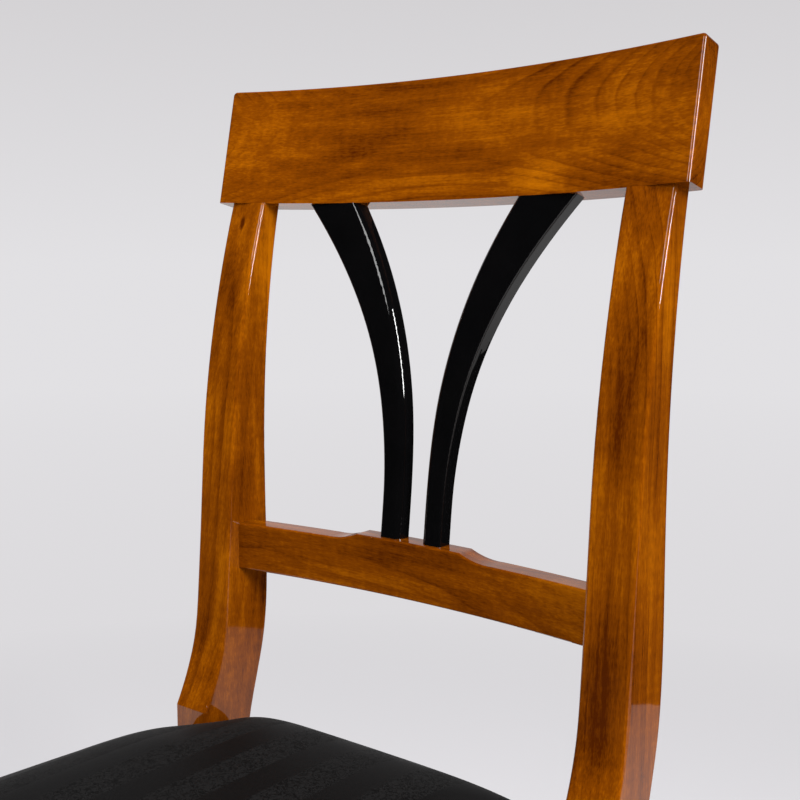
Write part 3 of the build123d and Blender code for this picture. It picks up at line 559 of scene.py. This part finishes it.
dress(("seat_frame_front", "seat_frame_rear"), beech("beech_across", (0, 0, 0), 1.0))
dress(("seat_frame_left", "seat_frame_right", "seat_frame_dowels"), beech("beech_deep", (0, 0, 90), 5.0))
dress(
    [name for name in nodes if name.startswith("corner_block_") and name != "corner_block_screws"],
    beech("beech_block", (0, 0, 0), 9.0),
)
dress(("crest_dowels", "splat_dowels"), beech("beech_upright", (0, 90, 0), 12.0))
dress(("cross_rail_dowels",), beech("beech_peg", (0, 0, 0), 15.0))
dress(("corner_block_screws", "seat_screws", "webbing_tacks"), zinc_steel())
dress([name for name in nodes if name.startswith("glide_")], nylon())
dress(
    ("webbing_lengthwise", "webbing_crosswise"),
    plain_cloth("webbing", WEBBING_DARK, WEBBING_LIGHT, WEBBING_PITCH, 3.0),
)
dress(("hessian",), plain_cloth("hessian", HESSIAN_DARK, HESSIAN_LIGHT, HESSIAN_PITCH, 6.0))

# Seat pad: its plan is the CAD cover's, notched round the posts
pad_low, pad_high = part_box("seat_cover")
POST_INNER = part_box("rear_leg_right")[0].x
PAD_BOTTOM = pad_low.z
PAD_FRONT = pad_low.y
PAD_REAR = pad_high.y
NOTCH_Y = 0.1319
PAD_GAP = 0.0008
SIDE_SLOPE = 0.1057
REAR_HALF = 0.185
TAPER_Y = 0.133
# Height of its edge, height of its crown over that, and how fast the crown rises from each edge
PAD_EDGE = 0.0328
CROWN = 0.0338
CROWN_POWER = 5.18
CROWN_SOFT = 1.30
CROWN_EASE = 0.0245
NOTCH_EASE = 0.0233
# The block that the pad is made from lies a little inside the plan
PAD_SLIM = 0.0010
PAD_CORNER = 0.014
PAD_CORNER_STEPS = 5
PAD_RIM = 0.010
PAD_RIM_STEPS = 4
PAD_VOXEL = 0.005
# Air in the cover: frames, pressure, the cloth's stiffness, how far it may move, and how much
# of the crown's own height the foam gives back to it
PAD_FRAMES = 20
PAD_QUALITY = 6
PAD_PRESSURE = 4.0
PAD_STIFFNESS = 40
PAD_BENDING = 2.0
PAD_SWELL = 0.0025
PAD_FIRMNESS = 0.85
# The seat frame inside: its top, the stretch of wall over which the cloth leaves it, and how
# far inside the plan a point of the wall is still drawn out
PAD_FRAME_TOP = 0.017
PAD_WALL_EASE = 0.005
PAD_WALL_REACH = 0.0045


def half_width(y):
    """Half the pad's width at depth y."""
    return REAR_HALF + SIDE_SLOPE * max(0.0, TAPER_Y - y)


def eased(distance, ease):
    """How far a crown has risen at a distance from its edge."""
    return 1 - exp(-max(distance, 0.0) / ease)


def crown_at(x, y):
    """Height of the crown over the pad's edge."""
    share = min(abs(x) / half_width(y), 1.0)
    notch_x = POST_INNER - PAD_GAP
    off_x = max(notch_x - abs(x), 0.0)
    off_y = max(NOTCH_Y - y, 0.0)
    to_notch = sqrt(off_x**2 + off_y**2)
    rise = CROWN * (1 - share**CROWN_POWER) ** CROWN_SOFT
    rise *= eased(PAD_REAR - y, CROWN_EASE)
    rise *= eased(y - PAD_FRONT, CROWN_EASE)
    return rise * eased(to_notch, NOTCH_EASE)


def share_of_edge(height):
    """How high a height lies in the pad's edge, from 0 to 1."""
    return min(max((height - PAD_BOTTOM) / PAD_EDGE, 0.0), 1.0)


def mirrored_plan(right):
    """A plan from the points of its right half."""
    return right + [(-x, y) for x, y in reversed(right)]


def round_edges(builder, edges, radius, steps):
    """Rounds edges in a number of steps."""
    bmesh.ops.bevel(
        builder, geom=edges, offset=radius, offset_type="OFFSET", segments=steps, profile=0.5,
        affect="EDGES", material=-1,
    )


def pad_block():
    """The pad as a block: its plan raised to the edge's height, with round corners."""
    front_half = half_width(PAD_FRONT) - PAD_SLIM
    rear_half = half_width(NOTCH_Y) - PAD_SLIM
    notch_x = POST_INNER - PAD_GAP - PAD_SLIM
    notch_y = NOTCH_Y - PAD_SLIM
    plan = mirrored_plan([
        (front_half, PAD_FRONT + PAD_SLIM),
        (rear_half, notch_y),
        (notch_x, notch_y),
        (notch_x, PAD_REAR - PAD_SLIM),
    ])
    middle = PAD_EDGE / 2
    builder = bmesh.new()
    base = builder.faces.new([builder.verts.new((x, y, PAD_BOTTOM)) for x, y in plan])
    grown = bmesh.ops.extrude_face_region(builder, geom=[base])
    top = [item for item in grown["geom"] if isinstance(item, bmesh.types.BMVert)]
    bmesh.ops.translate(builder, verts=top, vec=(0, 0, PAD_EDGE))
    upright = [edge for edge in builder.edges if abs(edge.verts[0].co.z - edge.verts[1].co.z) > middle]
    round_edges(builder, upright, PAD_CORNER, PAD_CORNER_STEPS)
    rim = [edge for edge in builder.edges if all(v.co.z > PAD_BOTTOM + middle for v in edge.verts)]
    rim = [edge for edge in rim if len(edge.link_faces) == 2]
    round_edges(builder, rim, PAD_RIM, PAD_RIM_STEPS)
    bmesh.ops.recalc_face_normals(builder, faces=builder.faces)
    return mesh_of(builder, "seat_pad")


def settle(piece, pin_below):
    """Swells a closed cloth with air, holding what lies below a height, and keeps the result."""
    scene = bpy.context.scene
    held = piece.vertex_groups.new(name="held")
    held.add([v.index for v in piece.data.vertices if v.co.z < pin_below], 1.0, "REPLACE")
    cloth = piece.modifiers.new("cloth", "CLOTH")
    cloth.settings.vertex_group_mass = "held"
    cloth.settings.quality = PAD_QUALITY
    cloth.settings.use_pressure = True
    cloth.settings.uniform_pressure_force = PAD_PRESSURE
    cloth.settings.tension_stiffness = PAD_STIFFNESS
    cloth.settings.compression_stiffness = PAD_STIFFNESS
    cloth.settings.bending_stiffness = PAD_BENDING
    cloth.settings.effector_weights.gravity = 0.0
    cloth.point_cache.frame_start = 1
    cloth.point_cache.frame_end = PAD_FRAMES
    for step in range(1, PAD_FRAMES + 1):
        scene.frame_set(step)
    ready = piece.evaluated_get(bpy.context.evaluated_depsgraph_get())
    moved = [v.co.copy() for v in ready.data.vertices]
    piece.modifiers.clear()
    for vertex, target in zip(piece.data.vertices, moved):
        shift = target - vertex.co
        if shift.length > PAD_SWELL:
            shift *= PAD_SWELL / shift.length
        vertex.co += shift
    scene.frame_set(1)


def outline_of(block):
    """The block's plan, as points that run counterclockwise."""
    base = min(block.polygons, key=lambda polygon: polygon.normal.z)
    return [block.vertices[index].co.to_2d() for index in reversed(base.vertices)]


def stretch_over_frame(piece, outline):
    """Draws the cloth's lower wall out to the pad's plan, so that the seat frame stays inside it."""
    sides = list(zip(outline, outline[1:] + outline[:1]))
    for vertex in piece.data.vertices:
        height = vertex.co.z - PAD_BOTTOM
        weight = min(max((PAD_FRAME_TOP + PAD_WALL_EASE - height) / PAD_WALL_EASE, 0.0), 1.0)
        if not weight:
            continue
        place = vertex.co.to_2d()
        nearest = None
        for start, end in sides:
            share = min(max(intersect_point_line(place, start, end)[1], 0.0), 1.0)
            target = start + share * (end - start)
            away = (target - place).length
            if nearest is None or away < nearest[0]:
                nearest = (away, target, (end - start).cross(place - start) > 0)
        away, target, inside = nearest
        if inside and away < PAD_WALL_REACH:
            vertex.co.x += weight * (target.x - place.x)
            vertex.co.y += weight * (target.y - place.y)


def lay_cloth(mesh):
    """Cloth coordinates in metres: flat over the top, and on down over the sides."""
    layer = mesh.uv_layers.new(name="cloth")
    edge = PAD_BOTTOM + PAD_EDGE
    for polygon in mesh.polygons:
        for index in polygon.loop_indices:
            vertex = mesh.vertices[mesh.loops[index].vertex_index]
            down = max(0.0, edge - vertex.co.z)
            across = vertex.co.x + down * vertex.normal.x
            along = vertex.co.y + down * vertex.normal.y
            layer.data[index].uv = (across, along)


def seat_pad():
    """The striped pad: a block, remeshed, crowned, swollen with air and subdivided."""
    block = pad_block()
    outline = outline_of(block)
    piece = add_object("seat_pad", block)
    remesh = piece.modifiers.new("remesh", "REMESH")
    remesh.mode = "VOXEL"
    remesh.voxel_size = PAD_VOXEL
    apply_modifiers(piece)
    for vertex in piece.data.vertices:
        vertex.co.z += share_of_edge(vertex.co.z) * crown_at(vertex.co.x, vertex.co.y)
    crowned = [vertex.co.z for vertex in piece.data.vertices]
    settle(piece, PAD_BOTTOM + PAD_VOXEL)
    for vertex, height in zip(piece.data.vertices, crowned):
        vertex.co.z += PAD_FIRMNESS * share_of_edge(height)**2 * (height - vertex.co.z)
    stretch_over_frame(piece, outline)
    subdivide = piece.modifiers.new("subdivide", "SUBSURF")
    subdivide.levels = 1
    subdivide.render_levels = 1
    apply_modifiers(piece)
    piece.data.shade_smooth()
    lay_cloth(piece.data)
    piece.data.materials.append(striped_cloth())
    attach(piece, BODY)
    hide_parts("seat_cover", "seat_foam")


seat_pad()

# Dust cover: how far its hem lies inside the pad's plan, its sag, its cuts each way and its thickness
HEM = 0.0263
DUST_SAG = 0.0025
DUST_CUTS = 24
DUST_THICKNESS = 0.0005


def dust_cover():
    """Black cloth under the seat, stretched over the frame and sagging a little between its members."""
    low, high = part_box("dust_cover")
    slant = HEM * sqrt(1 + SIDE_SLOPE**2)
    rear_y = NOTCH_Y - HEM
    notch_x = POST_INNER - PAD_GAP - HEM
    plan = mirrored_plan(
        [(high.x, low.y), (half_width(rear_y) - slant, rear_y), (notch_x, rear_y), (notch_x, high.y)]
    )
    builder = bmesh.new()
    builder.faces.new([builder.verts.new((x, y, low.z)) for x, y in plan])
    for step in range(1, DUST_CUTS):
        share = step / DUST_CUTS
        for place, normal in (
            ((low.x + share * (high.x - low.x), 0, 0), (1, 0, 0)),
            ((0, low.y + share * (high.y - low.y), 0), (0, 1, 0)),
        ):
            everything = builder.verts[:] + builder.edges[:] + builder.faces[:]
            bmesh.ops.bisect_plane(builder, geom=everything, dist=MERGE, plane_co=place, plane_no=normal)
    area = sum(face.calc_area() for face in builder.faces)
    middle_y = (low.y + high.y) / 2
    for vertex in builder.verts:
        across = 1 - (vertex.co.x / high.x) ** 2
        along = 1 - ((vertex.co.y - middle_y) / (high.y - middle_y)) ** 2
        vertex.co.z -= DUST_SAG * max(across, 0.0) * max(along, 0.0)
    bmesh.ops.recalc_face_normals(builder, faces=builder.faces)
    piece = add_object("dust_cover_cloth", mesh_of(builder, "dust_cover_cloth"))
    wall = piece.modifiers.new("wall", "SOLIDIFY")
    wall.thickness = DUST_THICKNESS
    wall.offset = 0.0
    apply_modifiers(piece)
    piece.data.shade_smooth()
    piece.data.materials.append(
        plain_cloth("dust_cloth", DUST_CLOTH_DARK, DUST_CLOTH_LIGHT, DUST_CLOTH_PITCH, 9.0)
    )
    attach(piece, BODY)
    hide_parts("dust_cover")


dust_cover()

# Studio: linear colours of the paper and of the backdrop, low, near the chair and high up
PAPER = (0.735, 0.722, 0.742, 1)
BACKDROP = (0.760, 0.750, 0.770, 1)
BACKDROP_NEAR = (0.715, 0.702, 0.722, 1)
BACKDROP_HIGH = (0.640, 0.625, 0.640, 1)
# What the lacquer mirrors of the studio: a dark room, a pale rear wall and a pale floor
ROOM_MIRRORED = grey(0.006)
WALL_MIRRORED = (0.62, 0.60, 0.61, 1)
FLOOR_MIRRORED = (1, 0.98, 0.98, 1)
ROOM_LIGHT = (0.42, 0.42, 0.43, 1)
# Rise of the line of sight at which the backdrop is darkest, and how squarely a mirrored line
# meets the rear wall where the wall starts and where it is at full strength
BACKDROP_RISE = 0.25
WALL_START = 0.66
WALL_FULL = 0.80


def studio_world():
    """A pale backdrop for the camera, and a darker studio for reflections."""
    world = bpy.data.worlds.new("studio")
    bpy.context.scene.world = world
    world.use_nodes = True
    tree = world.node_tree
    tree.nodes.clear()
    way = put(tree, "TexCoord").outputs["Generated"]
    yaw = radians(CAMERA_YAW)
    rising = put(tree, "SeparateXYZ", Vector=way).outputs["Z"]
    seen = ramp(tree, rising, (0.0, BACKDROP), (BACKDROP_RISE, BACKDROP_HIGH))
    wall = vector_calc(tree, "DOT_PRODUCT", way, (-sin(yaw), cos(yaw), 0))
    mirrored = ramp(tree, wall, (WALL_START, ROOM_MIRRORED), (WALL_FULL, WALL_MIRRORED))
    rays = put(tree, "LightPath")
    glossy = put(tree, "MixRGB", Fac=rays.outputs["Is Glossy Ray"], Color1=ROOM_LIGHT, Color2=mirrored)
    shown = put(tree, "MixRGB", Fac=rays.outputs["Is Camera Ray"], Color1=glossy.outputs[0], Color2=seen)
    background = put(tree, "Background", Color=shown.outputs[0], Strength=1.0)
    output = put(tree, "OutputWorld")
    tree.links.new(background.outputs[0], output.inputs[0])


# Floor: a round sheet of paper
FLOOR_RADIUS = 12.0
FLOOR_SEGMENTS = 96
# The lit paper, with the chair's shadow, gives way to the backdrop's colour at these radii
SHADOW_SCALE = 4.0
SHADOW_END = 0.22
BACKDROP_FULL = 0.48
# The backdrop's colour on the floor changes over these radii
FAR_SCALE = 8.0
FAR_START = 0.2
FAR_END = 0.85
# The mirrored floor is a pale strip that ends behind the chair at a slanted, ragged edge
STRIP_SLANT = (0.5, 0.866, 0)
STRIP_REAR = 1.6
STRIP_FRONT = -1.1
STRIP_RAGGED = 0.10
RAGGED_REPEATS = 6.0
STRIP_SCALE = 2.0
STRIP_DIM = ((0.5, grey(0.9)), (0.8, grey(0.42)))
STRIP_LEAST = 0.01


def mirrored_floor(tree, place):
    """How bright the lacquer sees the floor: pale near the chair, and dark past the strip's ends."""
    beyond = vector_calc(tree, "DOT_PRODUCT", place, STRIP_SLANT)
    ragged = noise(tree, place, RAGGED_REPEATS, detail=3.0, roughness=0.6, seed=2)
    beyond = vary(tree, ragged, STRIP_RAGGED, beyond)
    rear_edge = calc(tree, "LESS_THAN", beyond, STRIP_REAR)
    dim = ramp(tree, calc(tree, "DIVIDE", beyond, STRIP_SCALE), *STRIP_DIM)
    depth = vector_calc(tree, "DOT_PRODUCT", place, (0, 1, 0))
    front_edge = calc(tree, "GREATER_THAN", depth, STRIP_FRONT)
    bright = calc(tree, "MULTIPLY", calc(tree, "MULTIPLY", rear_edge, front_edge), dim)
    return vary(tree, bright, amount=1.0, middle=STRIP_LEAST)


def paper_floor():
    """A pale floor that keeps the chair's shadow near it and runs out into the backdrop."""
    builder = bmesh.new()
    bmesh.ops.create_circle(builder, cap_ends=True, radius=FLOOR_RADIUS, segments=FLOOR_SEGMENTS)
    floor = add_object("floor", mesh_of(builder, "floor"))
    material, tree = start_material("floor")
    place = object_place(tree)
    radius = vector_calc(tree, "LENGTH", place)
    near = calc(tree, "DIVIDE", radius, SHADOW_SCALE)
    far = calc(tree, "DIVIDE", radius, FAR_SCALE)
    lit = put(tree, "BsdfDiffuse", Color=PAPER)
    glow = put(
        tree, "Emission",
        Color=ramp(tree, far, (FAR_START, BACKDROP_NEAR), (FAR_END, BACKDROP)), Strength=1.0,
    )
    seen = put(tree, "MixShader", Fac=ramp(tree, near, (SHADOW_END, grey(0)), (BACKDROP_FULL, grey(1))))
    tree.links.new(lit.outputs[0], seen.inputs[1])
    tree.links.new(glow.outputs[0], seen.inputs[2])
    mirrored = put(tree, "Emission", Color=FLOOR_MIRRORED, Strength=mirrored_floor(tree, place))
    shown = put(tree, "MixShader", Fac=put(tree, "LightPath").outputs["Is Glossy Ray"])
    tree.links.new(seen.outputs[0], shown.inputs[1])
    tree.links.new(mirrored.outputs[0], shown.inputs[2])
    finish_material(tree, shown)
    floor.data.materials.append(material)


# Lamps: place, what each aims at, width, height, power, and whether the lacquer mirrors it
LAMPS = {
    "front": ((0.1, -2.3, 2.4), (0, 0.1, 0.7), 0.9, 0.9, 20, True),
    "side": ((2.5, -0.5, 1.9), (0, 0.1, 0.7), 0.5, 1.1, 72, True),
    "fill": ((-1.5, -1.6, 2.4), (0, 0.1, 0.6), 1.2, 1.2, 20, False),
    "top": ((0.2, 0.0, 3.0), (0, 0, 0), 1.5, 1.5, 26, False),
}


def soft_box(name, place, target, width, height, power, mirrored):
    """A rectangular studio lamp aimed at a point; mirrored says whether lacquer shows it."""
    lamp = bpy.data.lights.new(name, "AREA")
    lamp.shape = "RECTANGLE"
    lamp.size = width
    lamp.size_y = height
    lamp.energy = power
    holder = add_object(name, lamp)
    holder.location = place
    holder.rotation_euler = (Vector(target) - Vector(place)).to_track_quat("-Z", "Y").to_euler()
    holder.visible_glossy = mirrored


def camera():
    """The photograph's view."""
    data = bpy.data.cameras.new("camera")
    data.sensor_width = CAMERA_SENSOR
    data.lens = CAMERA_LENS
    holder = add_object("camera", data)
    holder.location = CAMERA_PLACE
    holder.rotation_euler = (radians(90 - CAMERA_DOWN), 0, radians(CAMERA_YAW))
    bpy.context.scene.camera = holder


studio_world()
paper_floor()
for name, traits in LAMPS.items():
    soft_box(name, *traits)
camera()
bpy.context.scene.view_settings.view_transform = "Standard"
